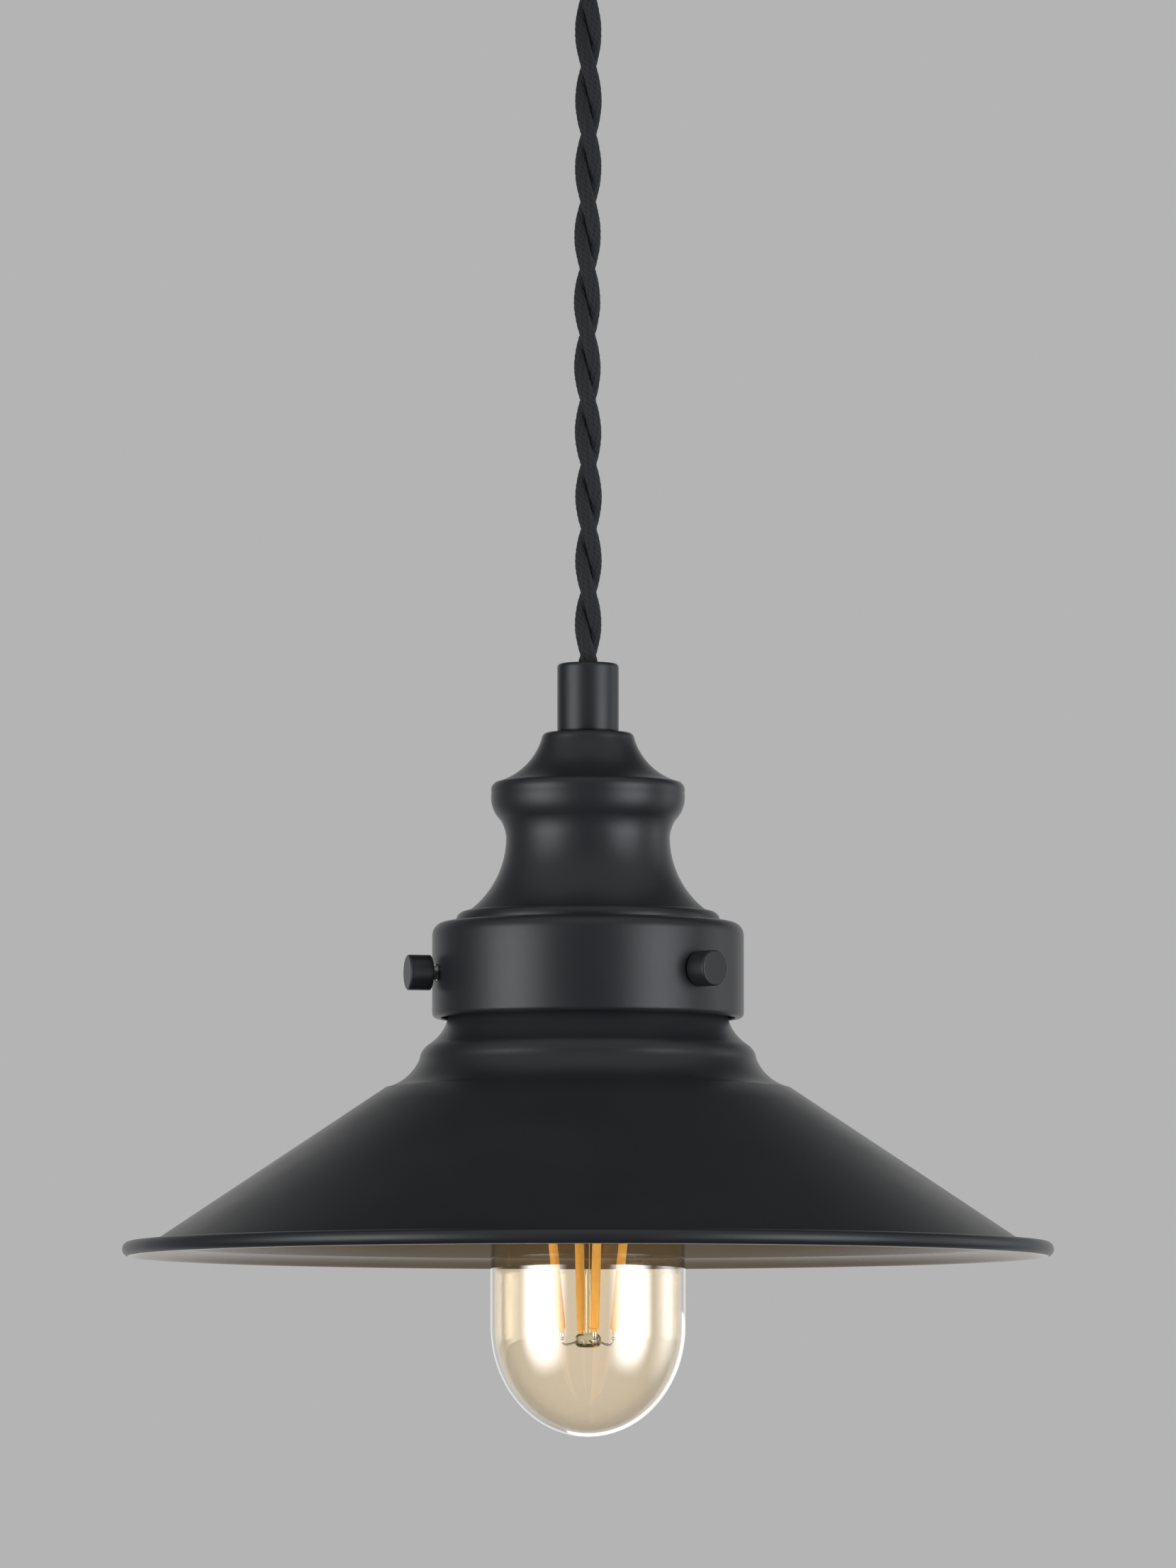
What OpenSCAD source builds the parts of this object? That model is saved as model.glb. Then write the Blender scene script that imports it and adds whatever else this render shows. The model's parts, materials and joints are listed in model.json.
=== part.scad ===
// Pendant ceiling light: ceiling cup, twisted textile flex, turned cap,
// gallery with three thumb screws, flat cone shade and a tubular bulb.
// Millimetres. Z = 0 is the ceiling, the lamp hangs towards -Z,
// and the origin is midway between the two ceiling screws.

/* [Ceiling cup] */
// Outside diameter of the ceiling cup
cup_d = 100; // [92:1:140]
// Depth of the ceiling cup below the ceiling
cup_h = 25; // [24:1:45]
// Sheet thickness of the ceiling cup
cup_wall = 1; // [0.6:0.1:2]
// Rounding of the cup's lower edge
cup_round = 4; // [2:0.5:8]
// Distance between the two ceiling screws
bracket_pitch = 60; // [50:1:64]
// Width of the ceiling bracket
bracket_w = 16; // [12:1:22]
// Sheet thickness of the ceiling bracket
bracket_t = 1.5; // [1:0.1:2.5]
// Diameter of each ceiling screw hole
ceiling_hole_d = 4.5; // [3.5:0.1:5.5]
// Diameter of the supply cable hole in the bracket
cable_hole_d = 12; // [8:0.5:13]

/* [Flex and cord grips] */
// Overall width of the twisted flex
flex_d = 6.2; // [5:0.1:7.6]
// Clearance round the flex where it leaves a cord grip
flex_gap = 0.5; // [0.4:0.1:0.8]
// Diameter of one insulated core
core_d = 2.2; // [1.6:0.1:2.6]
// Diameter of both cord grips
grip_d = 14.6; // [14:0.2:20]
// Height of the cord grip under the ceiling cup
rose_grip_h = 12; // [12:0.5:20]
// Height of the cord grip on the cap
grip_h = 16.5; // [13:0.5:26]
// Thread diameter of the hollow threaded tubes
nipple_d = 10; // [10:0.5:11]
// Wall of the hollow threaded tubes
nipple_wall = 0.9; // [0.8:0.1:1]
// Height of the lock nuts
nut_h = 2.4; // [2:0.1:4]
// Distance across the flats of the lock nuts
nut_flats = 14; // [13:0.5:15]

/* [Cap and gallery] */
// Height of the lampholder above the gallery, which sets the cap's height
holder_h = 40.9; // [40.9:0.1:60]
// Thickness of the cap's top and least wall at its neck
cap_wall = 1.6; // [1.2:0.1:2.5]
// Radius of the cap's flat top
cap_top_r = 11; // [10.5:0.1:13]
// How far the cap's shoulder stands out from its neck
shoulder_out = 3.5; // [2:0.1:6]
// Depth of the cap's shoulder below its top
shoulder_drop = 11.8; // [11:0.1:14]
// Height of the cap's neck above the gallery
neck_rise = 20.2; // [16:0.1:22]
// Thickness of the flange at the foot of the cap
flange_t = 2.6; // [2.6:0.1:4]
// Step from the gallery's wall in to the cap's flange
flange_step = 5.6; // [4:0.1:6]
// Outside diameter of the gallery
gallery_d = 73.8; // [72:0.2:100]
// Height of the gallery
gallery_h = 22.7; // [20:0.1:34]
// Wall of the gallery
gallery_wall = 2; // [1.5:0.1:2.5]
// Rounding of the gallery's top edge
gallery_round = 3; // [1:0.1:3.5]

/* [Thumb screws] */
// Depth of the thumb screws below the gallery's top
screw_drop = 12.4; // [11:0.1:13]
// Direction of the first thumb screw, anticlockwise from +X
screw_angle = 194.5; // [0:0.5:360]
// Diameter of a thumb screw's knob
knob_d = 8.4; // [6:0.1:11]
// Length of a thumb screw's knob
knob_l = 5.6; // [3:0.1:10]
// Thread diameter of a thumb screw
shank_d = 4; // [3:0.5:5]
// Gap from the gallery to each knob as the screws are set
knob_gaps = [1.5, 0.1, 0.8];

/* [Shade] */
// Outside diameter of the shade over its rolled rim
shade_d = 220; // [180:1:300]
// Height from the middle of the rolled rim to the foot of the gallery
shade_h = 54.7; // [45:0.1:90]
// Sheet thickness of the shade
shade_wall = 1.2; // [0.8:0.1:1.6]
// Diameter of the rolled rim
bead_d = 3.5; // [3.2:0.1:6]
// Width of the flat brim inside the rolled rim
brim_w = 6; // [4:0.1:12]
// Gap between the shade's neck and the gallery
neck_gap = 1.9; // [1.5:0.1:3]
// Depth of the groove that the screws hold
groove = 2; // [1.5:0.1:2.2]
// Outward reach of the rounded step below the neck
step_out = 6.9; // [5:0.1:9]

/* [Bulb and lampholder] */
// Diameter of the tubular bulb
bulb_d = 46; // [38:0.5:58]
// Length of the bulb from its contact to its tip
bulb_l = 141; // [130:1:180]
// Height of the bulb's domed end
dome_h = 26; // [16:1:30]
// Thickness of the bulb's glass
glass_wall = 0.8; // [0.5:0.1:1]
// Diameter over the thread of the bulb's cap
base_d = 26.5; // [26.2:0.1:26.6]
// Pitch of the bulb's thread
base_pitch = 3.6; // [3.6:0.1:3.7]
// Diameter of the lampholder's body
holder_d = 34.4; // [34.4:0.1:42]
// How far the threaded skirt stands out from the body
thread_out = 2.4; // [2:0.1:3]
// Diameter of each filament
filament_d = 2.1; // [1.5:0.1:3]
// Length of each filament
filament_l = 57; // [30:1:60]
// Distance from the bulb's axis to the lower end of each filament
filament_r = 6.3; // [5:0.1:8]
// Outward lean of each filament
filament_lean = 5.8; // [0:0.1:7]
// Turn of the filaments and their wires about the bulb's axis
filament_turn = 14; // [0:1:89]

/* [Hidden] */
$fn = 72;
fit = 0.05;      // between pieces that are screwed or pushed together
loose = 0.35;    // between pieces that move past each other

// Route of the flex: drops below the cord grip under the cup, on the lamp's axis
flex_drops = [0, 10, 20, 31, 42, 53, 64, 75, 86, 97, 108, 119, 130, 141, 152, 162];

// Heights, from the ceiling down
exit_z = -cup_h - rose_grip_h;
lamp_z = exit_z - flex_drops[len(flex_drops) - 1];
cap_z = lamp_z - grip_h;
cap_h = holder_h + nut_h + cap_wall + 0.1;
plate_z = cap_z - cap_h;
holder_z = plate_z + holder_h;
screw_z = plate_z - screw_drop;
rim_z = plate_z - gallery_h - shade_h;

// Radii shared by pieces that fit together
flex_r = flex_d / 2;
flex_hole_r = flex_r + flex_gap;
nipple_r = nipple_d / 2;
holder_r = holder_d / 2;
thread_r = holder_r + thread_out;
bore_r = holder_r + 0.6;
cap_neck_r = bore_r + cap_wall;
shoulder_r = cap_neck_r + shoulder_out;
gallery_r = gallery_d / 2;
flange_r = gallery_r - flange_step;
gallery_in_r = gallery_r - gallery_wall;
neck_r = gallery_in_r - neck_gap;
groove_r = neck_r - groove;
lip_r = gallery_in_r - 0.5;
shank_r = shank_d / 2;
shank_l = gallery_r + min(knob_gaps) - groove_r - 0.4;
cup_r = cup_d / 2;
cup_in_r = cup_r - cup_wall;

// Flex ends start this far from the swing axes, clear of the moving flex
tail_gap = 1.2;

// Bracket
tab_x = sqrt(pow(cup_in_r - 0.3, 2) - pow(bracket_w / 2, 2));
cup_screw_z = -9;
tab_h = 14;

// Lampholder and bulb cap, from the bulb's seat
seat_z = plate_z + 19.5;
core_h = 6.5;
core_z = seat_z + 1.3;
joint_z = seat_z - 2;
skirt_end_z = plate_z - 11.5;
base_r = base_d / 2;
base_in_r = base_r - 0.7;
shell_in_r = base_r + loose;
shell_t = 0.4;
skirt_in_r = shell_in_r + shell_t + 0.3;
collar_r = thread_r + 3.2;
collar_t = 2.2;
thread_z = seat_z - 4.5;
base_turns = 5;
base_rim_z = seat_z - 25;
base_end_z = seat_z - 27.5;

// Bulb
bulb_r = bulb_d / 2;
tip_z = seat_z - bulb_l;
dome_z = tip_z + dome_h;
button_z = tip_z + 21;
button_h = 3.4;
pinch_z = button_z + filament_l + 8;
filament_z = button_z + 2.5;

// ---- Curves ----

function turn(v, a) = [v.x * cos(a) - v.y * sin(a), v.x * sin(a) + v.y * cos(a)];

// Arc from p to q, without p. It bulges left of p-q by the share s of its chord.
function bow(p, q, s, n = 8) = let(a = 2 * atan(2 * s)) [for (i = [1 : n])
    p + turn(q - p, a * (1 - i / n)) * sin(a * i / n) / sin(a)];

function ring_arc(c, r, from, to, n = 12) = [for (i = [0 : n])
    let(a = from + (to - from) * i / n) c + r * [cos(a), sin(a)]];

// A path moved to its right by t, for the inner face of a sheet
function inset(path, t) = [for (i = [0 : len(path) - 1])
    let(a = path[max(i - 1, 0)], b = path[min(i + 1, len(path) - 1)], d = (b - a) / norm(b - a))
    path[i] + t * [d.y, -d.x]];

function flip(path) = [for (i = [len(path) - 1 : -1 : 0]) path[i]];

// ---- Shared shapes ----

module turned(path) rotate_extrude() polygon(path);

module tube(r, hole_r, h) difference() {
    cylinder(r = r, h = h);
    translate([0, 0, -1]) cylinder(r = hole_r, h = h + 2);
}

// A tube swept through a list of points. Ref is any direction that the path never takes.
module swept(points, r, sides, ref) {
    rings = len(points);
    rim = [for (i = [0 : rings - 1])
        let(way = points[min(i + 1, rings - 1)] - points[max(i - 1, 0)],
            u = cross(way, ref) / norm(cross(way, ref)), v = cross(way, u) / norm(way))
        for (k = [0 : sides - 1]) points[i] + r * (u * cos(360 * k / sides) + v * sin(360 * k / sides))];
    walls = [for (i = [0 : rings - 2], k = [0 : sides - 1]) let(n = (k + 1) % sides)
        [i * sides + k, (i + 1) * sides + k, (i + 1) * sides + n, i * sides + n]];
    ends = [[for (k = [0 : sides - 1]) k], [for (k = [sides - 1 : -1 : 0]) (rings - 1) * sides + k]];
    polyhedron(rim, concat(ends, walls));
}

// A bent insulated core or bare wire
module wire(points, r, ref = [1, 0, 0]) swept(points, r, 8, ref);

// A plain cylinder with a rounded edge at its top and bottom, bored right through
module collar(r, h, round_top, round_low, bore) turned(concat(
    [[bore, 0], [r - round_low, 0]], bow([r - round_low, 0], [r, round_low], -0.2, 4),
    bow([r, h - round_top], [r - round_top, h], -0.2, 4), [[bore, h]]));

// Hexagon nut on a hollow tube
module nut() difference() {
    cylinder(r = nut_flats / sqrt(3), h = nut_h, $fn = 6);
    translate([0, 0, -1]) cylinder(r = nipple_r + fit, h = nut_h + 2);
}

// Hollow tube with rings for its thread
module threaded_tube(h) tube(nipple_r, nipple_r - nipple_wall, h);

// Small grub screw with a slot, its tip at the origin, its head along +Y
module grub(r, l) rotate([-90, 0, 0]) difference() {
    cylinder(r = r, h = l, $fn = 32);
    translate([-r, -0.25, l - 0.6]) cube([2 * r, 0.5, 1]);
}

// Cord grip: flex hole at the far end, threaded socket at the base, side hole for the grub
grip_screw_r = 1.5;
flex_hole_h = 6.2;
module grip(h, round_far) difference() {
    collar(grip_d / 2, h, round_far, 0.3, nipple_r - nipple_wall);
    translate([0, 0, -1]) cylinder(r = nipple_r + fit, h = h - flex_hole_h + 1);
    translate([0, 0, h - flex_hole_h - 0.1]) cylinder(r = flex_hole_r, h = flex_hole_h + 1);
    translate([0, 0, h - 3.9]) rotate([-90, 0, 0]) cylinder(r = grip_screw_r + fit, h = grip_d, $fn = 32);
}
module grip_grub() grub(grip_screw_r, grip_d / 2 - flex_r - 0.6);

// ---- Ceiling end ----

module ceiling_bracket() color("silver") difference() {
    union() {
        translate([-tab_x, -bracket_w / 2, -bracket_t]) cube([2 * tab_x, bracket_w, bracket_t]);
        for (side = [-1, 1]) translate([side * (tab_x - bracket_t / 2), 0, -tab_h / 2])
            cube([bracket_t, bracket_w, tab_h], center = true);
    }
    for (side = [-1, 1]) translate([side * bracket_pitch / 2, 0, -bracket_t - 1])
        cylinder(d = ceiling_hole_d, h = bracket_t + 2);
    translate([0, 0, -bracket_t - 1]) cylinder(d = cable_hole_d, h = bracket_t + 2);
    translate([-tab_x - 1, 0, cup_screw_z]) rotate([0, 90, 0]) cylinder(r = 2, h = 2 * tab_x + 2);
}

module ceiling_cup() color("dimgray") difference() {
    turned(concat(
        [[nipple_r + 0.2, -cup_h], [cup_r - cup_round, -cup_h]],
        bow([cup_r - cup_round, -cup_h], [cup_r, -cup_h + cup_round], -0.2, 6),
        [[cup_r, 0], [cup_in_r, 0], [cup_in_r, -cup_h + cup_round]],
        bow([cup_in_r, -cup_h + cup_round], [cup_r - cup_round, -cup_h + cup_wall], 0.2, 6),
        [[nipple_r + 0.2, -cup_h + cup_wall]]));
    translate([-cup_r - 1, 0, cup_screw_z]) rotate([0, 90, 0]) cylinder(r = 2.2, h = 2 * cup_r + 2);
}

module cup_screw(side) color("black") translate([side * cup_r, 0, cup_screw_z])
    rotate([0, side * 90, 0]) {
        turned(concat([[0, 0], [3.5, 0]], bow([3.5, 0], [2, 2], -0.15, 4), [[0, 2]]));
        translate([0, 0, tab_x - cup_r - 3.5]) cylinder(r = 2 - fit, h = cup_r - tab_x + 3.5);
    }

module rose_grip() color("dimgray") translate([0, 0, -cup_h]) mirror([0, 0, 1]) grip(rose_grip_h, 0.5);
module rose_grip_screw() color("white") translate([0, flex_r, exit_z + 3.9]) grip_grub();
module rose_nipple() color("gold") translate([0, 0, exit_z + flex_hole_h + 0.1])
    threaded_tube(rose_grip_h - flex_hole_h + cup_wall + nut_h + 2);
module rose_nut() color("gold") translate([0, 0, -cup_h + cup_wall]) nut();

block = [20, 18, 12];
block_x = 12;
block_z = -bracket_t - block.z;
pole_y = 4.5;
pole_z = block_z + 4.5;
tail_top_z = -cup_h + cup_wall + nut_h + 4.5;

module terminal_block() color("white") difference() {
    translate([block_x, -block.y / 2, block_z]) cube(block);
    for (side = [-1, 1]) {
        translate([block_x - 1, side * pole_y, pole_z]) rotate([0, 90, 0]) cylinder(r = 2.6, h = block.x + 2);
        for (x = [5, 15]) translate([block_x + x, side * pole_y, block_z - 1]) cylinder(r = 1.9, h = 5);
    }
    translate([block_x + block.x / 2, 0, block_z - 1]) cylinder(r = 1.6, h = block.z + 2);
}
module terminal_tubes() color("gold") for (side = [-1, 1]) difference() {
    translate([block_x + 1, side * pole_y, pole_z]) rotate([0, 90, 0]) cylinder(r = 2.55, h = block.x - 2);
    translate([block_x, side * pole_y, pole_z]) rotate([0, 90, 0]) cylinder(r = 1.6, h = block.x);
    for (x = [5, 15]) translate([block_x + x, side * pole_y, block_z]) cylinder(r = 1.25, h = 4);
}
module terminal_screws() color("silver") for (side = [-1, 1], x = [5, 15])
    translate([block_x + x, side * pole_y, block_z + 0.6]) difference() {
        cylinder(r = 1.2, h = 3.2, $fn = 24);
        translate([-2, -0.2, -1]) cube([4, 0.4, 1.6]);
    }
module block_screw() color("silver") translate([block_x + block.x / 2, 0, block_z - 0.9]) {
    cylinder(r = 1.5, h = block.z + 0.9, $fn = 32);
    turned([[0, -0.5], [2, -0.5], [2.4, 0.9], [0, 0.9]]);
}
module rose_tail() color("black") translate([0, 0, exit_z + tail_gap])
    cylinder(r = flex_r - 0.05, h = tail_top_z - exit_z - tail_gap);
module rose_wire(side) wire([[0, side * 1.4, tail_top_z], [0, side * 1.4, tail_top_z + 1],
    [0.8, side * 1.8, tail_top_z + 2.7],
    [3, side * 3, tail_top_z + 5], [6.5, side * pole_y, pole_z], [block_x + 3.5, side * pole_y, pole_z]],
    core_d / 2, [0, 1, 0]);
module rose_live_wire() color("brown") rose_wire(-1);
module rose_neutral_wire() color("steelblue") rose_wire(1);

// ---- Flex ----

module flex() color("black")
    swept([for (drop = flex_drops) [0, 0, exit_z - drop]], flex_r, 12, [1, 0, 0]);

// ---- Lamp head ----

module cord_grip() color("dimgray") translate([0, 0, cap_z]) grip(grip_h, 0.6);
module grip_screw() color("white") translate([0, flex_r, lamp_z - 3.9]) grip_grub();
module nipple() color("gold") translate([0, 0, holder_z - 7])
    threaded_tube(lamp_z - flex_hole_h - 0.1 - holder_z + 7);
module cap_nut() color("gold") translate([0, 0, cap_z - cap_wall - nut_h]) nut();
module lamp_tail() color("black") translate([0, 0, holder_z - 8])
    cylinder(r = flex_r - 0.05, h = lamp_z - tail_gap - holder_z + 8);

// Turned bell over the lampholder, bored to clear it
cap_edge = 1.3;
module cap() color("dimgray") translate([0, 0, plate_z]) {
    top = cap_h;
    shoulder = top - shoulder_drop;
    turned(concat(
        [[nipple_r + 0.2, top], [cap_top_r - 1, top]],
        bow([cap_top_r - 1, top], [cap_top_r, top - cap_edge], 0.15, 4),
        bow([cap_top_r, top - cap_edge], [shoulder_r - 0.9, shoulder], -0.131, 10),
        bow([shoulder_r - 0.9, shoulder], [shoulder_r, shoulder - 2.4], 0.17, 5),
        bow([shoulder_r, shoulder - 2.4], [cap_neck_r + 1.4, shoulder - 8.8], 0.12, 6),
        bow([cap_neck_r + 1.4, shoulder - 8.8], [cap_neck_r, neck_rise], -0.064, 5),
        bow([cap_neck_r, neck_rise], [flange_r - 2.9, flange_t], -0.119, 12),
        bow([flange_r - 2.2, flange_t], [flange_r, flange_t - 2.2], 0.2, 5),
        [[flange_r, 0], [collar_r + 0.5, 0], [collar_r + 0.5, collar_t + 0.2], [bore_r, collar_t + 0.2],
         [bore_r, top - 13.5], [nut_flats / sqrt(3) + 1, top - cap_wall],
         [nipple_r + 0.2, top - cap_wall]]));
}

module gallery() color("dimgray") difference() {
    translate([0, 0, plate_z - gallery_h]) turned(concat(
        [[thread_r + 0.3, gallery_h], [gallery_r - gallery_round, gallery_h]],
        bow([gallery_r - gallery_round, gallery_h], [gallery_r, gallery_h - gallery_round], 0.2, 6),
        bow([gallery_r, 1.2], [gallery_r - 1.2, 0], 0.2, 4),
        [[gallery_in_r, 0], [gallery_in_r, gallery_h - gallery_wall],
         [thread_r + 0.3, gallery_h - gallery_wall]]));
    for (i = [0 : 2]) at_screw(i) translate([0, 0, groove_r])
        cylinder(r = shank_r + fit, h = gallery_r);
}

// Puts its children's Z axis along screw i, pointing outwards
module at_screw(i) translate([0, 0, screw_z]) rotate([0, 0, screw_angle + 120 * i]) rotate([0, 90, 0]) children();

module thumb_shank(i) color("silver") at_screw(i)
    translate([0, 0, gallery_r + knob_gaps[i] - shank_l]) {
        cylinder(r1 = shank_r - 0.5, r2 = shank_r, h = 0.5);
        translate([0, 0, 0.5]) cylinder(r = shank_r, h = shank_l - 0.5);
    }
module thumb_knob(i) color("dimgray") at_screw(i)
    translate([0, 0, gallery_r + knob_gaps[i]]) collar(knob_d / 2, knob_l, 0.3, 0.3, 0);

// Spun shade: lip and groove for the screws, rounded steps, cone, brim and rolled rim
shade_r = shade_d / 2;
bead_r = bead_d / 2;
module shade() color("dimgray") translate([0, 0, rim_z]) {
    screw_h = screw_z - rim_z;
    lip = screw_h + shank_r + 0.3;
    brim_r = shade_r - 2 * bead_r - brim_w + bead_r;
    step_r = neck_r + step_out;
    neck = [neck_r, shade_h + 0.5];
    cone_top = [step_r + 8.1, shade_h - 16.5];
    skin = concat([neck],
        bow(neck, [step_r - 2.1, shade_h - 6.3], -0.1),
        bow([step_r - 2.1, shade_h - 6.3], [step_r, shade_h - 9.8], 0.11, 6),
        bow([step_r, shade_h - 9.8], cone_top, -0.12),
        [[brim_r, bead_r + 0.3]]);
    bead = ring_arc([shade_r - bead_r, 0], bead_r, 90, -205, 24);
    lining = inset(skin, shade_wall);
    low = neck.y + 3;
    turned(concat(
        [[groove_r - shade_wall, lip + shade_wall], [lip_r, lip + shade_wall], [lip_r, lip],
         [groove_r, lip], [groove_r, low + 2.2], [neck_r, low]],
        skin, bead,
        [[brim_r - 0.8, bead_r + 0.3 - shade_wall]],
        flip([for (i = [0 : len(lining) - 2]) lining[i]]),
        [[neck_r - shade_wall, low], [groove_r - shade_wall, low + 2.2]]));
}

// ---- Lampholder ----

module holder_dome() color("black") turned([
    [nipple_r + fit, holder_z], [8, holder_z], [8, holder_z - 3.5], [13, holder_z - 6],
    [16.2 / 17.2 * holder_r, holder_z - 10], [holder_r, holder_z - 13],
    [holder_r, joint_z], [holder_r - 1.5, joint_z], [holder_r - 1.5, holder_z - 12.6],
    [12, holder_z - 8.2], [8.5, holder_z - 7], [nipple_r + fit, holder_z - 7]]);

module holder_skirt() color("black") turned([
    [holder_r - 1.5 - fit, core_z], [holder_r - 1.5 - fit, joint_z], [holder_r, joint_z],
    [holder_r, plate_z + collar_t], [collar_r, plate_z + collar_t], [collar_r, plate_z],
    [thread_r, plate_z], [thread_r, skirt_end_z + 0.6], [thread_r - 0.6, skirt_end_z],
    [skirt_in_r, skirt_end_z], [skirt_in_r, core_z]]);

module shade_ring() color("black") translate([0, 0, plate_z - gallery_wall - 4.5]) {
    tube(thread_r + 2.5, thread_r + fit, 4.5);
    translate([0, 0, 2.5]) tube(gallery_in_r - 8, thread_r + fit, 2);
}

terminal_x = 8.5;
wire_y = 3.5;
wire_z = core_z + 3.5 + core_d / 2;
module holder_core() color("white") difference() {
    translate([0, 0, core_z]) cylinder(r = holder_r - 1.5 - 2 * fit, h = core_h);
    for (side = [-1, 1]) {
        translate([side * terminal_x, 0, core_z + 2]) cylinder(r = 3.2, h = core_h);
        translate([side * terminal_x, 0, core_z + 1]) cylinder(r = 1.25, h = core_h);
        translate([side * (terminal_x - 1), wire_y, wire_z + 2]) cube([9, core_d + 0.2, core_d + 4], center = true);
    }
}
module holder_terminals() color("gold") for (side = [-1, 1]) translate([side * terminal_x, 0, core_z + 1])
    difference() {
        union() {
            cylinder(r = 1.2, h = 1, $fn = 24);
            translate([0, 0, 1]) cylinder(r = 3.1, h = 1.4);
            translate([0, 0, 3.6]) cylinder(r = 2.4, h = 1.4);
            translate([0, 0, 2.4]) cylinder(r = 1.2, h = 1.2, $fn = 24);
        }
        translate([-3, -0.3, 4.4]) cube([6, 0.6, 1]);
    }
module screw_shell() color("gold") translate([0, 0, base_rim_z + 1.3]) difference() {
    cylinder(r = shell_in_r + shell_t, h = core_z - base_rim_z - 1.3);
    translate([0, 0, -1]) cylinder(r = shell_in_r, h = core_z - base_rim_z - 1.3 - shell_t + 1);
    cylinder(r = 10, h = core_z - base_rim_z + 1);
}
module contact_spring() color("gold") {
    translate([-7, -2, core_z - 0.4]) cube([3, 4, 0.4]);
    translate([-4, -2, core_z - 0.9]) cube([7, 4, 0.5]);
}
module holder_wire(side) wire([[side * 1.4, 0, holder_z - 8], [side * 1.4, 0, holder_z - 8.8],
    [side * 2.2, 1.6, holder_z - 10.2], [side * 4, wire_y, wire_z + 3.2],
    [side * 6.2, wire_y, wire_z], [side * (terminal_x + 1.4), wire_y, wire_z]],
    core_d / 2 - 0.2, [0, 1, 0]);
module holder_live_wire() color("brown") holder_wire(-1);
module holder_neutral_wire() color("steelblue") holder_wire(1);

// ---- Bulb ----

module bulb_contact() color("silver") translate([0, 0, seat_z - 1.2]) turned(concat(
    [[0, 0], [4.8, 0]], bow([4.8, 0.6], [3.8, 1.2], -0.15, 4), [[0, 1.2]]));
module bulb_insulator() color("black") turned([[0, seat_z - 1.2], [5.4, seat_z - 1.2],
    [base_r - 1.6, thread_z], [base_in_r - fit, thread_z], [base_in_r - fit, thread_z - 1.5], [0, thread_z - 1.5]]);

// Thread crests are drawn as rings
module bulb_cap() color("silver") {
    crest = [for (i = [0 : base_turns * 12]) let(a = 30 * i)
        [base_r - 0.35 - 0.35 * cos(a), thread_z - base_pitch * i / 12]];
    turned(concat(crest, [[base_r, base_rim_z + 0.5], [base_r + 0.45, base_rim_z],
        [base_r + 0.45, base_end_z], [base_in_r, base_end_z], [base_in_r, thread_z]]));
}
module driver_board() color("green") translate([0, 0, base_end_z + 5]) {
    translate([-8.5, -0.6, 0]) cube([17, 1.2, 15]);
    translate([-3, 3.7, 2]) cylinder(r = 3, h = 9, $fn = 36);
    translate([2.5, 0.6, 4]) cube([5, 2.5, 7]);
    translate([-6, -2.8, 5]) cube([6, 2.2, 4]);
}

glass_skin = concat([[base_in_r - fit, base_end_z + 4], [base_in_r - fit, base_end_z - 3.5]],
    bow([base_in_r - fit, base_end_z - 3.5], [(base_r + bulb_r) / 2, base_end_z - 12.5], -0.13),
    bow([(base_r + bulb_r) / 2, base_end_z - 12.5], [bulb_r, base_end_z - 22], 0.14),
    [for (a = [0 : 6 : 84]) [bulb_r * cos(a), dome_z - dome_h * sin(a)]]);
glass_lining = inset(glass_skin, glass_wall);
module bulb_glass() color("goldenrod") turned(concat(glass_skin, [[0, tip_z], [0, tip_z + glass_wall]],
    flip(glass_lining)));

// Flared glass stem, open inside, with its pressed foot and the exhaust tube
module bulb_stem() color("lightgray") {
    flare_z = base_end_z - 1;
    flare = concat([[base_in_r - glass_wall - 0.6, flare_z]],
        bow([base_in_r - glass_wall - 0.6, flare_z], [4.4, flare_z - 9], 0.15),
        [[4.4, pinch_z + 4]]);
    turned(concat(flare, [[3.2, pinch_z], [0, pinch_z], [0, pinch_z + 4]], flip(inset(flare, 0.8))));
    translate([0, 0, button_z + button_h]) cylinder(r = 0.8, h = pinch_z - button_z - button_h, $fn = 24);
}
module stem_button() color("lightgray") translate([0, 0, button_z]) collar(3.1, button_h, 1, 0.6, 0);

// Lead wires from the pressed foot out to the upper filament ends
filament_top_r = filament_r + filament_l * sin(filament_lean);
filament_top_z = filament_z + filament_l * cos(filament_lean);
module lead_wires() color("silver") for (i = [0 : 3]) rotate([0, 0, 90 * i + filament_turn])
    wire([[1.5, 0, pinch_z], [1.9, 0, pinch_z - 1.5], [0.8 * filament_top_r, 0, filament_top_z + 3],
        [filament_top_r, 0, filament_top_z + 1.6], [filament_top_r, 0, filament_top_z + 0.2]], 0.3, [0, 1, 0]);
// Bent wires from the button to the lower filament ends
module lower_wires() color("gray") for (i = [0 : 3]) rotate([0, 0, 90 * i + filament_turn])
    wire([[3.15, 0, button_z + 1.2], [4.4, 0, button_z + 0.8], [filament_r - 0.5, 0, button_z + 0.8],
        [filament_r, 0, button_z + 1.3], [filament_r, 0, filament_z - 0.2]], 0.25, [0, 1, 0]);
module filament(i) color("orange") rotate([0, 0, 90 * i + filament_turn]) translate([filament_r, 0, filament_z])
    rotate([0, filament_lean, 0]) cylinder(d = filament_d, h = filament_l, $fn = 24);

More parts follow.
